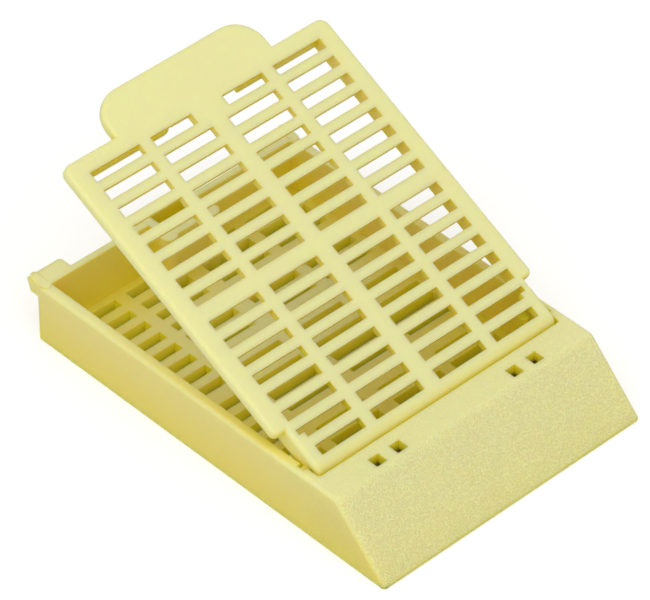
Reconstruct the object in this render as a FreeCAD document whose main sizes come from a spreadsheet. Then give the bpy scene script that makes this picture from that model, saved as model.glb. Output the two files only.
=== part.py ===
"""Tissue cassette with a hinged lid, as a parametric FreeCAD document.

A tissue cassette is a small slotted tray that holds a tissue sample while fluids flow through it.
It is two plastic mouldings. The tray has a slotted floor, a sloping writing face along its front,
hinge recesses in its side walls, a catch pocket in its back wall and two ears at its back corners.
The lid is a slotted plate with shallow skirts, a rolled front lip with two hinge pins, a thumb tab
and a catch tongue. Closed, the lid lies a little above the rim and its slots line up with those
of the floor. Here it stands partly open.

Millimetres. +X is to the right, +Y to the back and +Z up. The origin is at the centre of the
tray's footprint, on its underside. The lid is drawn closed, in a frame with its origin on the
hinge axis, and its Placement opens it.
"""

import FreeCAD, Part
import math
import os

import Sketcher
from FreeCAD import Placement, Rotation, Vector

# The driving dimensions. Each is one cell of the spreadsheet, under the same name.

SIZES = {
    # Tray
    "tray_width": 28.4,
    "tray_length": 40.36,
    "tray_height": 5.9,
    "floor_depth": 1.0,
    "side_wall": 0.95,
    "back_wall": 0.6,
    "front_wall": 0.8,
    "bowl_round": 0.25,
    "bowl_edge_round": 0.1,
    "rim_round": 0.35,
    "foot_round": 0.2,
    # Writing face and ledge
    "face_angle": 45.0,
    "face_wall": 1.0,
    "lip_height": 0.4,
    "lip_round": 0.35,
    "ledge_width": 2.79,
    "ledge_wall": 1.0,
    "ledge_round": 0.9,
    "hole_size": 1.09,
    "hole_inner_place": 6.4,
    "hole_outer_place": 8.67,
    "hole_setback": 1.74,
    # Slots of the floor and the lid
    "slot_width": 5.2,
    "slot_length": 0.938,
    "row_bar": 0.897,
    "middle_bar": 1.518,
    "column_bar": 1.18,
    "centre_bar": 1.68,
    "back_margin": 0.71,
    "least_front_margin": 1.5,
    "least_side_margin": 0.7,
    "slot_draft": 7.0,
    # Ears at the back corners, and the pads that guide the lid's corners
    "ear_width": 3.55,
    "ear_reach": 1.3,
    "ear_depth": 1.2,
    "ear_undercut": 0.38,
    "ear_round": 0.35,
    "pad_radius": 0.43,
    "pad_inset": 0.49,
    "pad_length": 1.3,
    "pad_low": 0.05,
    "pad_height": 0.3,
    # Catch pocket in the middle of the back wall
    "pocket_width": 3.8,
    "pocket_length": 1.63,
    "pocket_wall": 0.8,
    "post_radius": 0.77,
    "bulge_reach": 1.05,
    # Hinge
    "pivot_setback": 1.7,
    "pivot_drop": 0.5,
    "pin_radius": 0.35,
    "pin_length": 0.4,
    "pin_clearance": 0.05,
    "pin_end_clearance": 0.12,
    "guide_radius": 0.5,
    "guide_drop": 0.15,
    "guide_inset": 1.5,
    "guide_offset": 0.85,
    # Lid
    "lid_thickness": 0.8,
    "lid_gap": 0.1,
    "lid_back_overhang": 0.23,
    "lid_corner_round": 0.9,
    "lid_front_round": 0.5,
    "lid_edge_round": 0.4,
    "neck_length": 3.19,
    "neck_clearance": 0.12,
    "neck_edge_round": 0.4,
    "roll_wall": 0.5,
    "roll_clearance": 0.1,
    "tab_width": 17.0,
    "tab_length": 3.53,
    "tab_round": 2.8,
    "skirt_wall": 0.6,
    "skirt_back_depth": 0.77,
    "skirt_front_depth": 0.85,
    "skirt_setback": 0.12,
    "skirt_opening": 7.5,
    "skirt_round": 0.3,
    "hinge_block_length": 2.28,
    "hinge_block_width": 1.22,
    "cheek_radius": 0.65,
    "tongue_width": 3.0,
    "tongue_wall": 0.5,
    "tongue_length": 3.2,
    "tongue_nose": 0.12,
    "tongue_clearance": 0.28,
    "catch_land_width": 3.34,
    "open_angle": 26.6,
}

# Places worked out from the sizes, as expressions that the document evaluates.

SIDE = "(size.tray_width / 2)"
FRONT = "(-size.tray_length / 2)"
BACK = "(size.tray_length / 2)"
RIM = "size.tray_height"
FACE_RUN = "((size.tray_height - size.lip_height) / tan(size.face_angle * 1deg))"
LEDGE_FRONT = f"({FRONT} + {FACE_RUN})"
BOWL_FRONT = f"({LEDGE_FRONT} + size.ledge_width)"
BOWL_BACK = f"({BACK} - size.back_wall)"
BOWL_SIDE = f"({SIDE} - size.side_wall)"
BULGE_SIDE = "(size.pocket_width / 2 + size.pocket_wall)"

ROW_PITCH = "(size.slot_length + size.row_bar)"
MIDDLE_EXTRA = "(size.middle_bar - size.row_bar)"
COLUMN_PITCH = "(size.slot_width + size.column_bar)"
FIRST_ROW_BACK = f"({BOWL_BACK} - size.back_margin)"
ROWS_ROOM = f"({FIRST_ROW_BACK} - {BOWL_FRONT} - size.least_front_margin - {MIDDLE_EXTRA} + size.row_bar)"
ROWS_PER_BLOCK = f"floor({ROWS_ROOM} / {ROW_PITCH} / 2)"
BLOCK_PITCH = f"({ROWS_PER_BLOCK} * {ROW_PITCH} + {MIDDLE_EXTRA})"
COLUMNS_ROOM = f"({BOWL_SIDE} - size.least_side_margin - size.centre_bar / 2 + size.column_bar)"
COLUMNS_PER_SIDE = f"floor({COLUMNS_ROOM} / {COLUMN_PITCH})"

PIVOT_Y = f"({BOWL_FRONT} + size.pivot_setback)"
PIVOT_Z = "(size.tray_height - size.pivot_drop)"

# Places in the lid's own frame, measured from the hinge axis.

LID_UNDERSIDE = "(size.pivot_drop + size.lid_gap)"
LID_TOP = f"({LID_UNDERSIDE} + size.lid_thickness)"
LID_BACK = f"({BACK} + size.lid_back_overhang - {PIVOT_Y})"
NECK_SIDE = f"({BOWL_SIDE} - size.neck_clearance)"
ROLL_FRONT = "(-(size.pivot_setback - size.roll_clearance))"
ROLL_CENTRE = f"({ROLL_FRONT} + {LID_TOP})"
SKIRT_INSIDE = f"({NECK_SIDE} - size.skirt_wall)"
SKIRT_BACK = f"({BOWL_BACK} - size.skirt_setback - {PIVOT_Y})"
LID_FIRST_ROW_BACK = f"({FIRST_ROW_BACK} - {PIVOT_Y})"
TONGUE_BACK = f"({BOWL_BACK} + size.bulge_reach - size.tongue_clearance - {PIVOT_Y})"

document = FreeCAD.newDocument("tissue_cassette")


def make_sheet():
    """The spreadsheet: one row for each driving dimension, its name beside its number."""
    sheet = document.addObject("Spreadsheet::Sheet", "size")
    for row, (name, number) in enumerate(SIZES.items(), start=1):
        sheet.set(f"A{row}", name)
        sheet.set(f"B{row}", str(number))
        sheet.setAlias(f"B{row}", name)
    document.recompute()
    return sheet


def value(expression):
    """The number that an expression has with the sizes as they stand."""
    return float(document.getObject("size").evalExpression(expression.replace("size.", "")))


def make_body(label):
    """An empty body with its own label."""
    body = document.addObject("PartDesign::Body", label)
    body.Label = label
    return body


def origin_feature(body, role):
    """One of the body's own origin planes or axes."""
    return next(feature for feature in body.Origin.OriginFeatures if feature.Role == role)


def make_sketch(body, name, plane, offset=None):
    """A sketch on one of the body's origin planes, moved along the plane's normal by the offset."""
    sketch = body.newObject("Sketcher::SketchObject", name)
    sketch.AttachmentSupport = [(origin_feature(body, plane), "")]
    sketch.MapMode = "FlatFace"
    if offset:
        sketch.setExpression("AttachmentOffset.Base.z", offset)
    return sketch


def locate(sketch, geometry, point, across=None, up=None):
    """Tie a sketch point's distances from the sketch's origin to expressions."""
    for kind, expression in (("DistanceX", across), ("DistanceY", up)):
        if expression is not None:
            constraint = Sketcher.Constraint(kind, -1, 1, geometry, point, value(expression))
            index = sketch.addConstraint(constraint)
            sketch.setExpression(f"Constraints[{index}]", expression)


def set_radius(sketch, geometry, expression):
    """Tie the radius of a circle or an arc to an expression."""
    index = sketch.addConstraint(Sketcher.Constraint("Radius", geometry, value(expression)))
    sketch.setExpression(f"Constraints[{index}]", expression)


def draw_outline(sketch, corners):
    """A closed outline of straight lines through corners, each two expressions."""
    points = [Vector(value(across), value(up), 0) for across, up in corners]
    lines = []
    for start, end in zip(points, points[1:] + points[:1]):
        lines.append(sketch.addGeometry(Part.LineSegment(start, end)))
    for line, following in zip(lines, lines[1:] + lines[:1]):
        sketch.addConstraint(Sketcher.Constraint("Coincident", line, 2, following, 1))
    for line, (across, up) in zip(lines, corners):
        locate(sketch, line, 1, across, up)
    return lines


def draw_rectangle(sketch, left, right, low, high):
    """A rectangle between two places across and two up."""
    return draw_outline(sketch, [(left, low), (right, low), (right, high), (left, high)])


def draw_circle(sketch, across, up, radius):
    """A circle with its centre and radius tied to expressions."""
    centre = Vector(value(across), value(up), 0)
    circle = sketch.addGeometry(Part.Circle(centre, Vector(0, 0, 1), value(radius)))
    locate(sketch, circle, 3, across, up)
    set_radius(sketch, circle, radius)
    return circle


def draw_arc(sketch, across, up, radius, first_degrees, last_degrees):
    """An arc, anticlockwise, with its centre and radius tied to expressions."""
    centre = Vector(value(across), value(up), 0)
    circle = Part.Circle(centre, Vector(0, 0, 1), value(radius))
    first, last = math.radians(first_degrees), math.radians(last_degrees)
    arc = sketch.addGeometry(Part.ArcOfCircle(circle, first, last))
    locate(sketch, arc, 3, across, up)
    set_radius(sketch, arc, radius)
    return arc


def draw_oblong(sketch, across, first, last, radius):
    """Two half circles joined by straight sides, with their centres at two places up."""
    low = draw_arc(sketch, across, first, radius, 180, 360)
    high = draw_arc(sketch, across, last, radius, 0, 180)
    for start, end, sign, heights in (
        (low, high, 1, (first, last)),
        (high, low, -1, (last, first)),
    ):
        side = value(across) + sign * value(radius)
        points = [Vector(side, value(height), 0) for height in heights]
        line = sketch.addGeometry(Part.LineSegment(*points))
        sketch.addConstraint(Sketcher.Constraint("Coincident", start, 2, line, 1))
        sketch.addConstraint(Sketcher.Constraint("Coincident", line, 2, end, 1))
        for point, height in enumerate(heights, start=1):
            locate(sketch, line, point, None, height)


def add_feature(body, kind, name, sketch, length, symmetric=False, reverse=False, taper=None):
    """A pad or a pocket of a sketch, checked to change the volume the right way."""
    before = body.Shape.Volume if body.Tip else 0.0
    feature = body.newObject(f"PartDesign::{kind}", name)
    feature.Profile = sketch
    feature.SideType = "Symmetric" if symmetric else "One side"
    feature.Reversed = reverse
    feature.setExpression("Length", length)
    if taper:
        feature.setExpression("TaperAngle", taper)
    document.recompute()
    grows = body.Shape.Volume > before
    if grows != (kind == "Pad"):
        raise RuntimeError(f"{name} changes the volume the wrong way")
    return feature


def add_fillet(body, name, radius, chosen):
    """Round the edges of the body, as it is so far, that the test picks."""
    base = body.Tip
    names = [f"Edge{number}" for number, edge in enumerate(base.Shape.Edges, start=1) if chosen(edge)]
    if not names:
        raise RuntimeError(f"{name} finds no edges")
    feature = body.newObject("PartDesign::Fillet", name)
    feature.Base = (base, names)
    feature.setExpression("Radius", radius)
    document.recompute()
    return feature


def lies_at(edge, across=None, along=None, up=None):
    """True when the whole edge lies at the places given. Across is a distance to either side."""
    first, last = edge.ParameterRange
    for step in (0.0, 0.3, 0.5, 0.8, 1.0):
        point = edge.valueAt(first + (last - first) * step)
        for place, found in ((across, abs(point.x)), (along, point.y), (up, point.z)):
            if place is not None and abs(found - place) > 1e-4:
                return False
    return True


def add_mirror(body, name, originals):
    """The same features on the other side of the body's middle plane."""
    feature = body.newObject("PartDesign::Mirrored", name)
    feature.Originals = originals
    feature.MirrorPlane = (origin_feature(body, "YZ_Plane"), [""])
    body.Tip = feature
    document.recompute()
    return feature


def add_pattern_step(body, name, axis, length, occurrences, reverse=False):
    """One straight repeat inside a larger pattern."""
    step = body.newObject("PartDesign::LinearPattern", name)
    step.Direction = (origin_feature(body, axis), [""])
    step.Reversed = reverse
    step.setExpression("Occurrences", occurrences)
    step.setExpression("Length", f"({length}) * max({occurrences} - 1; 0) + 0.001 * ({occurrences} < 2)")
    return step


def cut_slots(body, name, first_row_back, top, depth, taper):
    """The slots: one is cut beside the middle bar in the back row, then repeated each way."""
    before = body.Shape.Volume
    sketch = make_sketch(body, f"{name}_sketch", "XY_Plane", top)
    inner = "(size.centre_bar / 2)"
    outer = f"({inner} + size.slot_width)"
    draw_rectangle(sketch, inner, outer, f"({first_row_back} - size.slot_length)", first_row_back)
    slot = add_feature(body, "Pocket", f"{name}_slot", sketch, depth, taper=taper)
    pattern = body.newObject("PartDesign::MultiTransform", f"{name}_pattern")
    pattern.Originals = [slot]
    columns = add_pattern_step(body, f"{name}_columns", "X_Axis", COLUMN_PITCH, COLUMNS_PER_SIDE)
    sides = body.newObject("PartDesign::Mirrored", f"{name}_sides")
    sides.MirrorPlane = (origin_feature(body, "YZ_Plane"), [""])
    rows = add_pattern_step(body, f"{name}_rows", "Y_Axis", ROW_PITCH, ROWS_PER_BLOCK, reverse=True)
    blocks = add_pattern_step(body, f"{name}_blocks", "Y_Axis", BLOCK_PITCH, "2", reverse=True)
    pattern.Transformations = [columns, sides, rows, blocks]
    body.Tip = pattern
    document.recompute()
    if not body.Shape.Volume < before:
        raise RuntimeError(f"{name} cuts nothing")
    return pattern


def make_block(tray):
    """The solid wedge-fronted block, with its outer edges rounded."""
    sketch = make_sketch(tray, "block_sketch", "YZ_Plane")
    draw_outline(sketch, [
        (FRONT, "0"), (BACK, "0"), (BACK, RIM), (LEDGE_FRONT, RIM), (FRONT, "size.lip_height"),
    ])
    add_feature(tray, "Pad", "block", sketch, "size.tray_width", symmetric=True)
    front, back, side = value(FRONT), value(BACK), value(SIDE)
    ledge_front, rim, lip = value(LEDGE_FRONT), value(RIM), value("size.lip_height")
    add_fillet(tray, "ledge_fillet", "size.ledge_round",
               lambda edge: lies_at(edge, along=ledge_front, up=rim))
    add_fillet(tray, "lip_fillet", "size.lip_round",
               lambda edge: lies_at(edge, along=front, up=lip))
    add_fillet(tray, "side_fillet", "size.rim_round",
               lambda edge: lies_at(edge, across=side)
               and not lies_at(edge, up=0) and not lies_at(edge, along=back))
    add_fillet(tray, "foot_fillet", "size.foot_round", lambda edge: lies_at(edge, up=0))


def add_ears(tray):
    """An ear at each back corner, with a ramped pad that guides the lid's corner down."""
    ear_side = f"({SIDE} - size.ear_width)"
    reach = f"({BACK} + size.ear_reach)"
    inside = f"({BACK} - size.back_wall / 2)"
    underside = f"({RIM} - size.ear_depth)"
    sketch = make_sketch(tray, "ear_sketch", "YZ_Plane", ear_side)
    draw_outline(sketch, [
        (inside, RIM), (inside, underside), (f"{reach} - size.ear_undercut", underside), (reach, RIM),
    ])
    ear = add_feature(tray, "Pad", "ear", sketch, "size.ear_width")

    pad_back = f"({reach} - size.pad_inset)"
    pad_front = f"({pad_back} - size.pad_length)"
    sketch = make_sketch(tray, "corner_pad_sketch", "XY_Plane", f"{RIM} - size.ear_depth / 2")
    draw_oblong(sketch, f"{SIDE} - size.pad_inset", pad_front, pad_back, "size.pad_radius")
    pad = add_feature(tray, "Pad", "corner_pad", sketch, "size.ear_depth / 2 + size.pad_height")

    low, high = f"({RIM} + size.pad_low)", f"({RIM} + size.pad_height)"
    beyond = f"({pad_front} - 2 * size.pad_radius)"
    sketch = make_sketch(tray, "corner_ramp_sketch", "YZ_Plane", f"{SIDE} - 2 * size.pad_inset")
    draw_outline(sketch, [
        (beyond, low), (f"{BACK} + size.lid_back_overhang + size.pad_low", low), (reach, high),
        (reach, f"{high} + size.pad_height"), (beyond, f"{high} + size.pad_height"),
    ])
    ramp = add_feature(tray, "Pocket", "corner_ramp", sketch, "2 * size.pad_inset", reverse=True)
    add_mirror(tray, "ears", [ear, pad, ramp])

    inner_end, back = value(ear_side), value(BACK)
    add_fillet(tray, "ear_fillet", "size.ear_round",
               lambda edge: lies_at(edge, across=inner_end)
               and edge.BoundBox.YMin > back + 0.01 and edge.BoundBox.ZLength > 0.1)


def cut_bowl(tray):
    """The bowl inside the walls, and the recess that carries it into the bulge behind the catch."""
    sketch = make_sketch(tray, "bulge_sketch", "XY_Plane")
    draw_rectangle(sketch, f"-{BULGE_SIDE}", BULGE_SIDE,
                   f"{BACK} - size.back_wall / 2", f"{BACK} + size.bulge_reach")
    add_feature(tray, "Pad", "bulge", sketch, RIM)

    depth = f"({RIM} - size.floor_depth)"
    sketch = make_sketch(tray, "bowl_sketch", "XY_Plane", RIM)
    draw_rectangle(sketch, f"-{BOWL_SIDE}", BOWL_SIDE, BOWL_FRONT, BOWL_BACK)
    add_feature(tray, "Pocket", "bowl", sketch, depth)
    side, front, back, rim = value(BOWL_SIDE), value(BOWL_FRONT), value(BOWL_BACK), value(RIM)
    add_fillet(tray, "bowl_fillet", "size.bowl_round",
               lambda edge: lies_at(edge, across=side, along=back)
               or lies_at(edge, across=side, along=front))
    add_fillet(tray, "bowl_edge_fillet", "size.bowl_edge_round",
               lambda edge: lies_at(edge, up=rim) and abs(edge.CenterOfMass.x) < side + 1e-4
               and front - 1e-4 < edge.CenterOfMass.y < back + 1e-4)

    sketch = make_sketch(tray, "recess_sketch", "XY_Plane", RIM)
    draw_rectangle(sketch, "-size.pocket_width / 2", "size.pocket_width / 2",
                   f"{BOWL_BACK} - size.back_wall / 2", f"{BOWL_BACK} + size.bulge_reach")
    add_feature(tray, "Pocket", "recess", sketch, depth)


def cut_hollow(tray):
    """The hollow under the ledge and the writing face, open below, and the holes into it."""
    face_thickness = "(size.face_wall / sin(size.face_angle * 1deg))"
    hollow_top = f"({RIM} - size.ledge_wall)"
    hollow_foot = f"({FRONT} + {face_thickness} - size.lip_height / tan(size.face_angle * 1deg))"
    sketch = make_sketch(tray, "hollow_sketch", "YZ_Plane")
    draw_outline(sketch, [
        (hollow_foot, "0"),
        (f"{BOWL_FRONT} - size.front_wall", "0"),
        (f"{BOWL_FRONT} - size.front_wall", hollow_top),
        (f"{hollow_foot} + {hollow_top} / tan(size.face_angle * 1deg)", hollow_top),
    ])
    add_feature(tray, "Pocket", "hollow", sketch, f"2 * {BOWL_SIDE}", symmetric=True)

    sketch = make_sketch(tray, "holes_sketch", "XY_Plane", RIM)
    low = f"({BOWL_FRONT} - size.hole_setback - size.hole_size / 2)"
    for place in ("-size.hole_outer_place", "-size.hole_inner_place",
                  "size.hole_inner_place", "size.hole_outer_place"):
        left = f"({place} - size.hole_size / 2)"
        draw_rectangle(sketch, left, f"{left} + size.hole_size", low, f"{low} + size.hole_size")
    add_feature(tray, "Pocket", "holes", sketch, "2 * size.ledge_wall")


def cut_hinge_recesses(tray):
    """The recesses in the side walls where the pins turn, open at the rim."""
    sketch = make_sketch(tray, "hinge_recess_sketch", "YZ_Plane", f"{BOWL_SIDE} - size.side_wall / 4")
    radius = "(size.pin_radius + size.pin_clearance)"
    arc = draw_arc(sketch, PIVOT_Y, PIVOT_Z, radius, 180, 360)
    pivot, level, above = value(PIVOT_Y), value(PIVOT_Z), value(f"{RIM} + size.pivot_drop")
    corners = [
        Vector(pivot + value(radius), level, 0),
        Vector(pivot + value(radius), above, 0),
        Vector(pivot - value(radius), above, 0),
        Vector(pivot - value(radius), level, 0),
    ]
    right, top, left = [
        sketch.addGeometry(Part.LineSegment(start, end)) for start, end in zip(corners, corners[1:])
    ]
    for first, second in ((arc, right), (right, top), (top, left), (left, arc)):
        sketch.addConstraint(Sketcher.Constraint("Coincident", first, 2, second, 1))
    for line in (right, left):
        sketch.addConstraint(Sketcher.Constraint("Vertical", line))
    sketch.addConstraint(Sketcher.Constraint("Horizontal", top))
    locate(sketch, right, 1, None, PIVOT_Z)
    locate(sketch, left, 2, None, PIVOT_Z)
    locate(sketch, top, 1, None, f"{RIM} + size.pivot_drop")
    depth = "(size.pin_length + size.pin_end_clearance - size.neck_clearance + size.side_wall / 4)"
    recess = add_feature(tray, "Pocket", "hinge_recess", sketch, depth, reverse=True)
    add_mirror(tray, "hinge_recesses", [recess])


def add_catch_pocket(tray):
    """Two posts in front of the catch, the wall between them and a leg from each to the back wall."""
    pocket_side = "(size.pocket_width / 2)"
    pocket_front = f"({BOWL_BACK} - size.pocket_length)"
    wall_middle = f"({pocket_front} - size.pocket_wall / 2)"
    wall_front = f"({pocket_front} - size.pocket_wall)"
    leg_end = f"({BOWL_BACK} + size.back_wall / 2)"
    post_place = f"({pocket_side} + size.pocket_wall / 2)"
    sketch = make_sketch(tray, "pocket_sketch", "XY_Plane")
    draw_outline(sketch, [
        (f"-{BULGE_SIDE}", wall_middle), (f"-{BULGE_SIDE}", leg_end),
        (f"-{pocket_side}", leg_end), (f"-{pocket_side}", pocket_front),
        (pocket_side, pocket_front), (pocket_side, leg_end),
        (BULGE_SIDE, leg_end), (BULGE_SIDE, wall_middle),
        (post_place, wall_front), (f"-{post_place}", wall_front),
    ])
    add_feature(tray, "Pad", "pocket_walls", sketch, RIM)
    sketch = make_sketch(tray, "posts_sketch", "XY_Plane")
    for place in (f"-{post_place}", post_place):
        draw_circle(sketch, place, wall_middle, "size.post_radius")
    add_feature(tray, "Pad", "posts", sketch, RIM)


def add_guides(tray):
    """The guide posts that keep the lid's skirts beside the side walls."""
    sketch = make_sketch(tray, "guides_sketch", "XY_Plane")
    guide_place = f"({BOWL_SIDE} - size.guide_inset)"
    for place in (f"-{guide_place}", guide_place):
        draw_circle(sketch, place, f"{PIVOT_Y} + size.guide_offset", "size.guide_radius")
    add_feature(tray, "Pad", "guides", sketch, f"{RIM} - size.guide_drop")


def make_tray():
    """The tray, with its slots a little narrower at the underside than at the floor."""
    tray = make_body("base_tray")
    make_block(tray)
    add_ears(tray)
    cut_bowl(tray)
    cut_hollow(tray)
    cut_slots(tray, "floor", FIRST_ROW_BACK, "size.floor_depth", "size.floor_depth",
              "-size.slot_draft * 1deg")
    cut_hinge_recesses(tray)
    add_catch_pocket(tray)
    add_guides(tray)
    return tray


def make_plate(lid):
    """The lid's plate and its thumb tab."""
    sketch = make_sketch(lid, "plate_sketch", "XY_Plane", LID_UNDERSIDE)
    draw_rectangle(sketch, f"-{SIDE}", SIDE, "size.neck_length", LID_BACK)
    add_feature(lid, "Pad", "plate", sketch, "size.lid_thickness")
    side, front, back = value(SIDE), value("size.neck_length"), value(LID_BACK)
    add_fillet(lid, "corner_fillet", "size.lid_corner_round",
               lambda edge: lies_at(edge, across=side, along=back))
    add_fillet(lid, "front_corner_fillet", "size.lid_front_round",
               lambda edge: lies_at(edge, across=side, along=front))
    sketch = make_sketch(lid, "tab_sketch", "XY_Plane", LID_UNDERSIDE)
    tab_side, tab_end = "(size.tab_width / 2)", f"({LID_BACK} + size.tab_length)"
    draw_rectangle(sketch, f"-{tab_side}", tab_side, f"{LID_BACK} - size.lid_corner_round", tab_end)
    add_feature(lid, "Pad", "tab", sketch, "size.lid_thickness")
    add_fillet(lid, "tab_fillet", "size.tab_round",
               lambda edge: lies_at(edge, across=value(tab_side), along=value(tab_end)))


def add_neck(lid):
    """The neck between the side walls, which rolls over at the hinge, and the rounded top edges."""
    sketch = make_sketch(lid, "neck_sketch", "YZ_Plane")
    arc = draw_arc(sketch, ROLL_CENTRE, "0", LID_TOP, 90, 180)
    inside = f"({ROLL_FRONT} + size.roll_wall)"
    back = "(size.neck_length + size.lid_thickness)"
    corners = [
        (ROLL_FRONT, "0"), (inside, "0"), (inside, LID_UNDERSIDE), (back, LID_UNDERSIDE),
        (back, LID_TOP), (ROLL_CENTRE, LID_TOP),
    ]
    points = [Vector(value(across), value(up), 0) for across, up in corners]
    lines = [
        sketch.addGeometry(Part.LineSegment(start, end)) for start, end in zip(points, points[1:])
    ]
    loop = [arc] + lines
    for first, second in zip(loop, loop[1:] + loop[:1]):
        sketch.addConstraint(Sketcher.Constraint("Coincident", first, 2, second, 1))
    for number, line in enumerate(lines):
        kind = "Vertical" if number in (1, 3) else "Horizontal"
        sketch.addConstraint(Sketcher.Constraint(kind, line))
    locate(sketch, lines[0], 1, None, "0")
    locate(sketch, lines[1], 1, inside)
    locate(sketch, lines[2], 2, back, LID_UNDERSIDE)
    locate(sketch, lines[4], 2, ROLL_CENTRE)
    add_feature(lid, "Pad", "neck", sketch, f"2 * {NECK_SIDE}", symmetric=True)
    neck_side, lid_top, neck_end = value(NECK_SIDE), value(LID_TOP), value("size.neck_length")
    add_fillet(lid, "neck_fillet", "size.neck_edge_round",
               lambda edge: lies_at(edge, across=neck_side)
               and (lies_at(edge, up=lid_top) or edge.Curve.TypeId == "Part::GeomCircle"))
    add_fillet(lid, "edge_fillet", "size.lid_edge_round",
               lambda edge: lies_at(edge, up=lid_top) and edge.BoundBox.YMax > neck_end)


def add_skirts_and_pins(lid):
    """A skirt along each side and along the back beside the catch, and the hinge's two pins."""
    overlap = "(size.lid_thickness / 2)"
    sketch = make_sketch(lid, "side_skirt_sketch", "YZ_Plane", SKIRT_INSIDE)
    draw_outline(sketch, [
        ("0", f"{LID_UNDERSIDE} + {overlap}"),
        ("0", f"{LID_UNDERSIDE} - size.skirt_front_depth"),
        (SKIRT_BACK, f"{LID_UNDERSIDE} - size.skirt_back_depth"),
        (SKIRT_BACK, f"{LID_UNDERSIDE} + {overlap}"),
    ])
    side_skirt = add_feature(lid, "Pad", "side_skirt", sketch, "size.skirt_wall")
    skirt_foot = f"({LID_UNDERSIDE} - size.skirt_back_depth)"
    skirt_end = "(size.skirt_opening / 2)"
    sketch = make_sketch(lid, "back_skirt_sketch", "XY_Plane", skirt_foot)
    draw_rectangle(sketch, skirt_end, f"{SKIRT_INSIDE} + size.skirt_wall / 2",
                   f"{SKIRT_BACK} - size.skirt_wall", SKIRT_BACK)
    back_skirt = add_feature(lid, "Pad", "back_skirt", sketch, f"size.skirt_back_depth + {overlap}")

    sketch = make_sketch(lid, "cheek_sketch", "YZ_Plane", SKIRT_INSIDE)
    draw_circle(sketch, "0", "0", "size.cheek_radius")
    cheek = add_feature(lid, "Pad", "cheek", sketch, "size.skirt_wall")
    sketch = make_sketch(lid, "pin_sketch", "YZ_Plane", SKIRT_INSIDE)
    draw_circle(sketch, "0", "0", "size.pin_radius")
    pin = add_feature(lid, "Pad", "pin", sketch, "size.skirt_wall + size.pin_length")
    add_mirror(lid, "skirts_and_pins", [side_skirt, back_skirt, cheek, pin])
    end, foot = value(skirt_end), value(skirt_foot)
    add_fillet(lid, "skirt_fillet", "size.skirt_round",
               lambda edge: lies_at(edge, across=end, up=foot))


def add_hinge_blocks(lid):
    """The solid corners beside the pins, where the front rows of slots stop short."""
    sketch = make_sketch(lid, "hinge_block_sketch", "XY_Plane", LID_UNDERSIDE)
    draw_rectangle(sketch, f"{NECK_SIDE} - size.hinge_block_width",
                   f"{NECK_SIDE} - size.neck_edge_round", ROLL_CENTRE, "size.hinge_block_length")
    block = add_feature(lid, "Pad", "hinge_block", sketch, "size.lid_thickness")
    add_mirror(lid, "hinge_blocks", [block])


def add_catch_tongue(lid):
    """The solid land in the back row, and the tongue with a low nose that enters the bulge."""
    sketch = make_sketch(lid, "catch_land_sketch", "XY_Plane", LID_UNDERSIDE)
    draw_rectangle(sketch, "-size.catch_land_width / 2", "size.catch_land_width / 2",
                   f"{LID_FIRST_ROW_BACK} - size.slot_length - size.row_bar / 2",
                   f"{LID_FIRST_ROW_BACK} + size.row_bar / 2")
    add_feature(lid, "Pad", "catch_land", sketch, "size.lid_thickness")
    middle = f"({LID_UNDERSIDE} + size.lid_thickness / 2)"
    front = f"({TONGUE_BACK} - size.tongue_wall)"
    end = f"({LID_UNDERSIDE} - size.tongue_length)"
    sketch = make_sketch(lid, "tongue_sketch", "YZ_Plane")
    draw_outline(sketch, [
        (front, middle),
        (front, end),
        (TONGUE_BACK, end),
        (f"{TONGUE_BACK} + size.tongue_nose", f"{end} + 2 * size.tongue_nose"),
        (f"{TONGUE_BACK} + size.tongue_nose", f"{end} + 4 * size.tongue_nose"),
        (TONGUE_BACK, f"{end} + 6 * size.tongue_nose"),
        (TONGUE_BACK, middle),
    ])
    add_feature(lid, "Pad", "tongue", sketch, "size.tongue_width", symmetric=True)


def make_lid():
    """The lid, closed, with its origin on the hinge axis, then turned open by its Placement."""
    lid = make_body("lid")
    make_plate(lid)
    add_neck(lid)
    add_skirts_and_pins(lid)
    cut_slots(lid, "lid", LID_FIRST_ROW_BACK, LID_TOP, "size.lid_thickness", "size.slot_draft * 1deg")
    add_hinge_blocks(lid)
    add_catch_tongue(lid)
    lid.Placement = Placement(Vector(0, 0, 0), Rotation(Vector(1, 0, 0), SIZES["open_angle"]))
    lid.setExpression("Placement.Base.y", PIVOT_Y)
    lid.setExpression("Placement.Base.z", PIVOT_Z)
    lid.setExpression("Placement.Rotation.Angle", "size.open_angle * 1deg")
    return lid


def check_document():
    """Stop if any object of the document failed."""
    for item in document.Objects:
        if {"Invalid", "Error"} & set(item.State):
            raise RuntimeError(f"{item.Name} failed: {item.State}")


def write_parts(bodies):
    """Write each body's solid to a file of its own name."""
    os.makedirs("parts", exist_ok=True)
    for body in bodies:
        shape = body.Shape
        if shape.isNull() or not shape.isValid() or len(shape.Solids) != 1:
            raise RuntimeError(f"{body.Label} is not one valid solid")
        shape.exportStep(f"parts/{body.Label}.step")


make_sheet()
BODIES = [make_tray(), make_lid()]
document.recompute()
check_document()
write_parts(BODIES)
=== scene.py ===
# %% [markdown]
# # A tissue cassette with its lid ajar
#
# A tissue cassette is a slotted box, about as long as a thumb. A scrap of tissue is shut inside
# it, and fluids wash through the slots. It is two thin mouldings in one cream-yellow plastic: a
# tray with a sloping face for writing on, and a lid that turns on two small pins.
#
# The model that is loaded has both shapes already. This lesson gives them what a bare model
# lacks: the depth and colour of the plastic, the soft edges that a mould leaves, the grain of the
# writing face, and a small studio to see them in.

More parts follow.
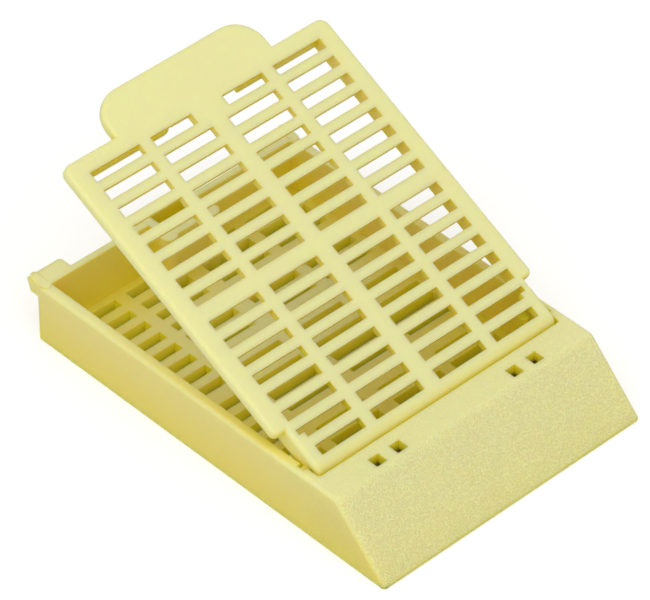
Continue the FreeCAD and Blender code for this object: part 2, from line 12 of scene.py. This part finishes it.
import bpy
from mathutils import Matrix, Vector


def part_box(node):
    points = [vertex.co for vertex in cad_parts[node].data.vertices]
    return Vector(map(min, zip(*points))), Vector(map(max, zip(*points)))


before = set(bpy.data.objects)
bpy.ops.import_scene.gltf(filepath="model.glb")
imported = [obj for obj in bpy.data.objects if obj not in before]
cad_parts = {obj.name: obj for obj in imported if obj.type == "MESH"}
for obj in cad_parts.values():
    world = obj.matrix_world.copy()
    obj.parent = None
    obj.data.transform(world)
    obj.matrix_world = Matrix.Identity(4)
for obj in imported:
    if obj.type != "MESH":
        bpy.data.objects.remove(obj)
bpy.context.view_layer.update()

import math

import bpy
import numpy as np
from mathutils import Vector

MM = 0.001
TRAY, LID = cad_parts["base_tray"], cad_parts["lid"]
TRAY_LOW, TRAY_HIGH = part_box("base_tray")
LID_LOW, LID_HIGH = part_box("lid")
scene = bpy.context.scene
for piece, low, high in (("tray", TRAY_LOW, TRAY_HIGH), ("lid", LID_LOW, LID_HIGH)):
    print(piece, "is", [round(length / MM, 2) for length in high - low], "mm")

# %% [markdown]
# ## The camera
#
# The camera stands well back with a long lens, so that the far end of the box is hardly smaller
# than the near end. A direction is easier to think about as two angles than as a point, so one
# helper turns an azimuth (from the front, round to the right) and an elevation into an arrow,
# and another stands a thing out along that arrow and turns it to face the middle of the box.

# %% Stand the camera
AZIMUTH, ELEVATION = -43.495, 41.09
DISTANCE = 404.43 * MM
LENS = 277.3
AIM = Vector((2.198, 3.745, 4.849)) * MM
NEAREST, FARTHEST = 0.01, 5.0


def arrow(azimuth, elevation):
    """The unit vector from the box towards a viewer: the two angles of a sphere, in degrees."""
    turn, lift = math.radians(azimuth), math.radians(elevation)
    level = math.cos(lift)
    return Vector((math.sin(turn) * level, -math.cos(turn) * level, math.sin(lift)))


def stand(name, data, azimuth, elevation, distance):
    """Puts a camera or a lamp out along an arrow from AIM, facing back along it."""
    thing = bpy.data.objects.new(name, data)
    out = arrow(azimuth, elevation)
    thing.location = AIM + out * distance
    thing.rotation_mode = "QUATERNION"
    thing.rotation_quaternion = (-out).to_track_quat("-Z", "Y")
    scene.collection.objects.link(thing)
    return thing


eye = bpy.data.cameras.new("camera")
eye.lens = LENS
eye.clip_start, eye.clip_end = NEAREST, FARTHEST
scene.camera = stand("camera", eye, AZIMUTH, ELEVATION, DISTANCE)
print("camera at", [round(value / MM, 1) for value in scene.camera.location], "mm")

# %% [markdown]
# ## Small helpers for materials
#
# A material is a drawing of nodes and wires, and three helpers keep that drawing short to write.
# One fills a node's inputs: an input is either wired to another node's output or has its value
# typed in. One adds a node and fills it. The last mixes two colours, which the finishes here do
# again and again. A mix node has a set of sockets for each kind of value, so the four that belong
# to colours are picked out by number.

# %% Helpers for nodes
SHARE, FIRST, SECOND, MIXED = 0, 6, 7, 2


def fill(tree, node, inputs):
    """Gives each named input its value, by a wire if the value is another node's socket."""
    for name, value in inputs.items():
        if isinstance(value, bpy.types.NodeSocket):
            tree.links.new(value, node.inputs[name])
        else:
            node.inputs[name].default_value = value
    return node


def add(tree, kind, inputs, **settings):
    """Adds a shader node of one kind, with its settings and its inputs."""
    node = tree.nodes.new("ShaderNode" + kind)
    for name, value in settings.items():
        setattr(node, name, value)
    return fill(tree, node, inputs)


def blend_colours(tree, share, first, second):
    """Goes from the first colour to the second as share goes from 0 to 1, and gives the output."""
    mixed = add(tree, "Mix", {}, data_type="RGBA")
    return fill(tree, mixed, {SHARE: share, FIRST: first, SECOND: second}).outputs[MIXED]


print("helpers:", [helper.__name__ for helper in (fill, add, blend_colours)])

# %% [markdown]
# ## Effects that materials share
#
# An effect that several materials use is drawn once, as a group with named inputs and outputs,
# and each material then places the group with values of its own. One helper starts a group and
# the other places it.

# %% Helpers for groups


def start_group(name, inputs, outputs):
    """Makes an empty group from two dicts of socket names and kinds, and gives its two ends."""
    tree = bpy.data.node_groups.new(name, "ShaderNodeTree")
    for side, sockets in (("INPUT", inputs), ("OUTPUT", outputs)):
        for socket, kind in sockets.items():
            tree.interface.new_socket(socket, in_out=side, socket_type="NodeSocket" + kind)
    return tree, tree.nodes.new("NodeGroupInput").outputs, tree.nodes.new("NodeGroupOutput").inputs


def use_group(tree, group, inputs):
    """Places a group in a material with that material's own values, and gives its outputs."""
    return fill(tree, add(tree, "Group", {}, node_tree=group), inputs).outputs


print("helpers:", [helper.__name__ for helper in (start_group, use_group)])

# %% [markdown]
# ## The room
#
# The plastic is matt and lets light through, so hard light would only show its shadows. Two wide
# lamps stand above it, one nearly in front and one at its left side, so that the faces seen here
# get about as much light as the top, and an even white sky fills in. The sky lights the box
# gently, but the camera and the reflections see it as plain white, so that the picture has a
# white ground without any more light on the box.

# %% Sky and lamps
SKY, WHITE = 0.45, 1.0
LAMP_SIZE, LAMP_DISTANCE, LAMP_ELEVATION = 0.8, 1.0, 55
LAMPS = {"front": {"azimuth": -20, "power": 2.8}, "side": {"azimuth": -90, "power": 2.6}}


def seen_directly(tree):
    """An output that is 1 for rays from the camera, from a reflection or through glass."""
    path = add(tree, "LightPath", {}).outputs
    seen = path["Is Camera Ray"]
    for other in ("Is Glossy Ray", "Is Transmission Ray"):
        seen = add(tree, "Math", {0: seen, 1: path[other]}, operation="MAXIMUM").outputs[0]
    return seen


scene.view_settings.view_transform = "Standard"
scene.world = bpy.data.worlds.new("sky")
scene.world.use_nodes = True
sky = scene.world.node_tree
sky.nodes.clear()
level = add(sky, "MapRange", {"Value": seen_directly(sky), "To Min": SKY, "To Max": WHITE})
light = add(sky, "Background", {"Color": (1, 1, 1, 1), "Strength": level.outputs["Result"]})
add(sky, "OutputWorld", {"Surface": light.outputs["Background"]})

for name, lamp in LAMPS.items():
    panel = bpy.data.lights.new(name, "AREA")
    panel.size, panel.energy = LAMP_SIZE, lamp["power"]
    stand(name, panel, lamp["azimuth"], LAMP_ELEVATION, LAMP_DISTANCE)
    print(name, "lamp of", panel.energy, "W,", panel.size, "m wide")

# %% [markdown]
# ## The floor
#
# A sheet of white paper, much larger than the box and a hair below it. A flat sheet is the
# simplest surface of two parameters: x and y run over a grid and z stays put. Paper this bright
# throws light back up under the walls. To the camera it glows a little, so that the open paper
# is white and the shadow of the box still shows.

# %% Lay the paper
REACH, CELLS = 2.0, 4
DROP = 0.01 * MM
PAPER, PAPER_GLOW = (0.8, 0.8, 0.8, 1), 0.41


def flat_sheet(reach, height, cells):
    """x and y run from -reach to reach over a square grid, and z is the height everywhere."""
    steps = np.linspace(-reach, reach, cells + 1)
    x, y = np.meshgrid(steps, steps)
    points = np.stack([x, y, np.full_like(x, height)], axis=-1).reshape(-1, 3)
    first = (np.arange(cells)[:, None] * (cells + 1) + np.arange(cells)).ravel()
    corners = np.stack([first, first + 1, first + cells + 2, first + cells + 1], axis=-1)
    mesh = bpy.data.meshes.new("floor")
    mesh.from_pydata(points.tolist(), [], corners.tolist())
    return mesh


floor = bpy.data.objects.new("floor", flat_sheet(REACH, -DROP, CELLS))
scene.collection.objects.link(floor)
paper = bpy.data.materials.new("white_paper")
paper.use_nodes = True
tree = paper.node_tree
camera_ray = add(tree, "LightPath", {}).outputs["Is Camera Ray"]
glow = add(tree, "MapRange", {"Value": camera_ray, "To Min": 0.0, "To Max": PAPER_GLOW})
sheet = tree.nodes["Principled BSDF"].inputs
tree.links.new(glow.outputs["Result"], sheet["Emission Strength"])
sheet["Base Color"].default_value = PAPER
sheet["Emission Color"].default_value = (1, 1, 1, 1)
sheet["Roughness"].default_value = 1.0
sheet["Specular IOR Level"].default_value = 0.0
floor.data.materials.append(paper)
print("floor of", len(floor.data.polygons), "faces")

# %% [markdown]
# ## Painted shade where walls close in
#
# The plastic takes a little blue out of the light at every bounce. Out in the open the light has
# bounced once and the box looks cream. Low on the walls some of it has come off or through other
# plastic, and the box looks golden. Inside the tray and in the slots all of it has, and the gold
# is deep. Following enough bounces would take long to render, so this shade is painted into the
# colour instead. The group measures how open each spot is and goes from the open colour through a
# painted golden shade to a painted deep shade as the spot closes in.

# %% Group: painted shade where walls close in
OPEN, HALF_SHUT, SHUT = 1.0, 0.6, 0.2
OPENNESS_RAYS = 8

painted_shade, inside, outside = start_group(
    "painted_bounce_shade",
    {"Open Colour": "Color", "Golden Shade": "Color", "Deep Shade": "Color", "Reach": "Float"},
    {"Colour": "Color"},
)
openness = add(
    painted_shade, "AmbientOcclusion", {"Distance": inside["Reach"]}, samples=OPENNESS_RAYS
)
colour = inside["Deep Shade"]
for low, high, name in ((SHUT, HALF_SHUT, "Golden Shade"), (HALF_SHUT, OPEN, "Open Colour")):
    share = add(
        painted_shade, "MapRange", {"Value": openness.outputs["AO"], "From Min": low, "From Max": high}
    )
    colour = blend_colours(painted_shade, share.outputs["Result"], colour, inside[name])
painted_shade.links.new(colour, outside["Colour"])
print(painted_shade.name, "gives", [socket.name for socket in outside if socket.name])

# %% [markdown]
# ## Edges softened by the mould, with a painted glow
#
# No edge of a moulding is sharp: molten plastic never quite fills a corner, and the part is
# tumbled with hundreds of others. The slots alone have more than a thousand edges, and rounding
# each in the mesh would cost far more than it shows, so the group rounds them in the shading,
# with a normal that is averaged over a small radius. An edge is also thin, and light that passes
# through it comes out golden. That glow is painted into the colour. Short rays sent into the
# plastic find where it is thin, and their share that comes out again is handed on as the mask
# for the painted glow.

# %% Group: soft edges
ROUNDING_RAYS, THINNESS_RAYS = 4, 6

soften, inside, outside = start_group(
    "soft_edges",
    {"Radius": "Float", "Thin": "Float", "Gain": "Float"},
    {"Normal": "Vector", "Edge": "Float"},
)
rounded = add(soften, "Bevel", {"Radius": inside["Radius"]}, samples=ROUNDING_RAYS)
within = add(
    soften, "AmbientOcclusion", {"Distance": inside["Thin"]}, samples=THINNESS_RAYS, inside=True
)
escaped = add(soften, "Math", {0: 1.0, 1: within.outputs["AO"]}, operation="SUBTRACT").outputs[0]
edge = add(soften, "Math", {0: escaped, 1: inside["Gain"]}, operation="MULTIPLY", use_clamp=True)
soften.links.new(rounded.outputs["Normal"], outside["Normal"])
soften.links.new(edge.outputs[0], outside["Edge"])
print(soften.name, "gives", [socket.name for socket in outside if socket.name])

# %% [markdown]
# ## The skin of a moulding
#
# Plastic that flowed into a mould is never quite even. Its colour drifts in long faint streaks
# along the way it flowed, its shine comes and goes, and its surface carries a very fine tooth
# from the steel. Each of the three is one noise, of its own size, in millimetres on the piece.

# %% Group: moulded skin
STREAK_LENGTH, STREAK_WIDTH = 14.0, 4.0
PATCH, TOOTH = 2.5, 0.12
FINE, FINER = 2.0, 3.0

skin, inside, outside = start_group(
    "moulded_skin",
    {"Place": "Vector", "Colour": "Color", "Streaks": "Float", "Roughness": "Float",
     "Patches": "Float"},
    {"Colour": "Color", "Roughness": "Float", "Height": "Float"},
)


def noise(tree, place, size, detail, stretch=1.0):
    """Noise about 0.5 whose lumps are size mm across, and stretch times as long in y.

    Detail is how many finer and finer layers are laid over the lumps.
    """
    lengths = (1 / size, 1 / (size * stretch), 1 / size)
    scaled = add(tree, "Mapping", {"Vector": place, "Scale": lengths})
    made = add(
        tree, "TexNoise", {"Vector": scaled.outputs["Vector"], "Scale": 1.0, "Detail": detail}
    )
    return made.outputs["Fac"]


def swing(tree, value, amount, middle):
    """Turns noise about 0.5 into middle, give or take about half of amount."""
    centred = add(tree, "Math", {0: value, 1: 0.5}, operation="SUBTRACT").outputs[0]
    made = add(tree, "Math", {0: centred, 1: amount, 2: middle}, operation="MULTIPLY_ADD")
    return made.outputs[0]


streaks = noise(skin, inside["Place"], STREAK_WIDTH, FINER, STREAK_LENGTH / STREAK_WIDTH)
lightness = swing(skin, streaks, inside["Streaks"], 1.0)
drifted = add(skin, "VectorMath", {0: inside["Colour"], "Scale": lightness}, operation="SCALE")
skin.links.new(drifted.outputs["Vector"], outside["Colour"])
patches = noise(skin, inside["Place"], PATCH, FINE)
skin.links.new(swing(skin, patches, inside["Patches"], inside["Roughness"]), outside["Roughness"])
skin.links.new(noise(skin, inside["Place"], TOOTH, FINE), outside["Height"])
print(skin.name, "gives", [socket.name for socket in outside if socket.name])

# %% [markdown]
# ## The grain of the writing face
#
# A pencil needs a tooth to bite on, so the mould is eaten away with sparks where it forms the
# sloping face, and the face comes out covered in fine pits. The pits are one more noise. They are
# full on the slope, fainter on the ledge behind it, and stop where the ledge does. The slope is a
# plane at 45 degrees through the lip along the foot of the tray, and a spot lies on it when its
# height less its y is the plane's own number. A pit catches less light and a peak more, so
# besides their height the pits carry a little painted shade and the peaks a little painted
# highlight.

# %% Group: spark grain
LIP, LEDGE_BACK = 0.4, 8.29
FACE_PLANE = LIP - TRAY_LOW.y / MM
FADE_FROM, FADE_TO, FADE_BACK = 0.03, 0.25, 0.6
ON_LEDGE = 0.35
PIT, PLAIN = 0.13, 0.0
DEEPEST, HIGHEST = 0.35, 0.65

grain, inside, outside = start_group(
    "spark_grain",
    {"Place": "Vector", "Plane": "Float", "End": "Float", "Colour": "Color",
     "Pit Shade": "Color", "Peak Highlight": "Color"},
    {"Colour": "Color", "Pits": "Float"},
)
parts = add(grain, "SeparateXYZ", {"Vector": inside["Place"]}).outputs
above = add(grain, "Math", {0: parts["Z"], 1: parts["Y"]}, operation="SUBTRACT").outputs[0]
away = add(grain, "Math", {0: above, 1: inside["Plane"]}, operation="SUBTRACT").outputs[0]
distance = add(grain, "Math", {0: away}, operation="ABSOLUTE").outputs[0]
on_slope = add(grain, "MapRange", {
    "Value": distance, "From Min": FADE_FROM, "From Max": FADE_TO, "To Min": 1.0, "To Max": ON_LEDGE
})
past = add(grain, "Math", {0: parts["Y"], 1: inside["End"]}, operation="SUBTRACT").outputs[0]
in_front = add(grain, "MapRange", {
    "Value": past, "From Min": 0.0, "From Max": FADE_BACK, "To Min": 1.0, "To Max": 0.0
})
mask = add(
    grain, "Math", {0: on_slope.outputs["Result"], 1: in_front.outputs["Result"]},
    operation="MULTIPLY",
).outputs[0]
height = add(grain, "MapRange", {
    "Value": noise(grain, inside["Place"], PIT, PLAIN), "From Min": DEEPEST, "From Max": HIGHEST
}).outputs["Result"]
# Pits get painted shade and peaks painted highlight, only where the mask lets the grain show.
pit_shade_and_highlight = blend_colours(grain, height, inside["Pit Shade"], inside["Peak Highlight"])
tint = blend_colours(grain, mask, (1, 1, 1, 1), pit_shade_and_highlight)
tinted = add(grain, "VectorMath", {0: inside["Colour"], 1: tint}, operation="MULTIPLY")
kept = add(grain, "Math", {0: height, 1: mask}, operation="MULTIPLY").outputs[0]
grain.links.new(tinted.outputs["Vector"], outside["Colour"])
grain.links.new(kept, outside["Pits"])
print("the writing face is where z - y is", round(FACE_PLANE, 2), "mm")

# %% [markdown]
# ## Two finishes in one plastic
#
# Tray and lid are moulded from the same granules, so they share every effect. They differ as two
# moulds would make them: the tray carries the grain and shows the streaks more, while the lid is
# plainer and a little smoother. Light sinks about a millimetre into the plastic before it comes
# out again. Red goes furthest and blue is soon taken up, which is why thin bars seem to glow from
# within.

# %% Mix the plastic
# The cream is the plastic's own colour. The golden and the deep colour are painted shade, laid on
# where plastic shuts a spot in.
CREAM, GOLDEN_SHADE, DEEP_SHADE = (0.94, 0.885, 0.43, 1), (0.93, 0.765, 0.19, 1), (0.91, 0.8, 0.02, 1)
# A painted glow: the deeper gold of light that has passed through a thin edge.
PAINTED_EDGE_GLOW, EDGE_GAIN = (0.88, 0.77, 0.28, 1), 1.2
# Painted shade for the pits of the grain and painted highlight for its peaks.
PIT_SHADE, PEAK_HIGHLIGHT = (0.965, 0.9, 0.85, 1), (1.065, 1.045, 1.08, 1)
THIN, SHUT_IN = 0.35 * MM, 12 * MM
SINK_DEPTH, SINK_COLOURS = 1.0 * MM, (1.0, 0.8, 0.15)
PLASTIC_IOR = 1.46


def moulded_plastic(name, offset, streaks, roughness, patches, edge_radius, tooth, pit_depth):
    """One moulding's finish: the shared effects, with this moulding's own values.

    Offset, edge_radius, tooth and pit_depth are in millimetres. The offset moves the noises, so
    that two pieces don't show the same marks.
    """
    material = bpy.data.materials.new(name)
    material.use_nodes = True
    tree = material.node_tree
    shader = tree.nodes["Principled BSDF"].inputs
    coordinates = add(tree, "TexCoord", {}).outputs["Object"]
    placed = add(
        tree, "Mapping",
        {"Vector": coordinates, "Scale": (1 / MM,) * 3, "Location": (offset, 0, 0)},
    ).outputs["Vector"]
    edges = use_group(
        tree, soften, {"Radius": edge_radius * MM, "Thin": THIN, "Gain": EDGE_GAIN}
    )
    surface = use_group(tree, skin, {
        "Place": placed, "Colour": CREAM, "Streaks": streaks, "Roughness": roughness,
        "Patches": patches,
    })
    # Painted glow: thin edges are taken towards a deeper gold.
    with_edge_glow = blend_colours(tree, edges["Edge"], surface["Colour"], PAINTED_EDGE_GLOW)
    # Painted shade: where plastic shuts a spot in, the colour goes to a painted golden and then a
    # painted deep shade.
    colour = use_group(tree, painted_shade, {
        "Open Colour": with_edge_glow, "Golden Shade": GOLDEN_SHADE, "Deep Shade": DEEP_SHADE, "Reach": SHUT_IN,
    })
    tree.links.new(surface["Roughness"], shader["Roughness"])
    normal = add(
        tree, "Bump",
        {"Height": surface["Height"], "Normal": edges["Normal"], "Distance": tooth * MM},
    ).outputs["Normal"]
    if pit_depth:
        colour = use_group(tree, grain, {
            "Place": placed, "Plane": FACE_PLANE, "End": TRAY_LOW.y / MM + LEDGE_BACK,
            "Colour": colour["Colour"], "Pit Shade": PIT_SHADE, "Peak Highlight": PEAK_HIGHLIGHT,
        })
        normal = add(
            tree, "Bump", {"Height": colour["Pits"], "Normal": normal, "Distance": pit_depth * MM}
        ).outputs["Normal"]
    tree.links.new(colour["Colour"], shader["Base Color"])
    tree.links.new(normal, shader["Normal"])
    shader["IOR"].default_value = PLASTIC_IOR
    shader["Subsurface Weight"].default_value = 1.0
    shader["Subsurface Radius"].default_value = SINK_COLOURS
    shader["Subsurface Scale"].default_value = SINK_DEPTH
    return material


tray_plastic = moulded_plastic(
    "tray_plastic", offset=0, streaks=0.05, roughness=0.5, patches=0.12, edge_radius=0.07,
    tooth=0.008, pit_depth=0.035,
)
lid_plastic = moulded_plastic(
    "lid_plastic", offset=40, streaks=0.04, roughness=0.46, patches=0.1, edge_radius=0.05,
    tooth=0.01, pit_depth=0,
)
for piece, material in ((TRAY, tray_plastic), (LID, lid_plastic)):
    piece.data.materials.clear()
    piece.data.materials.append(material)
    print(piece.name, "has", material.name)
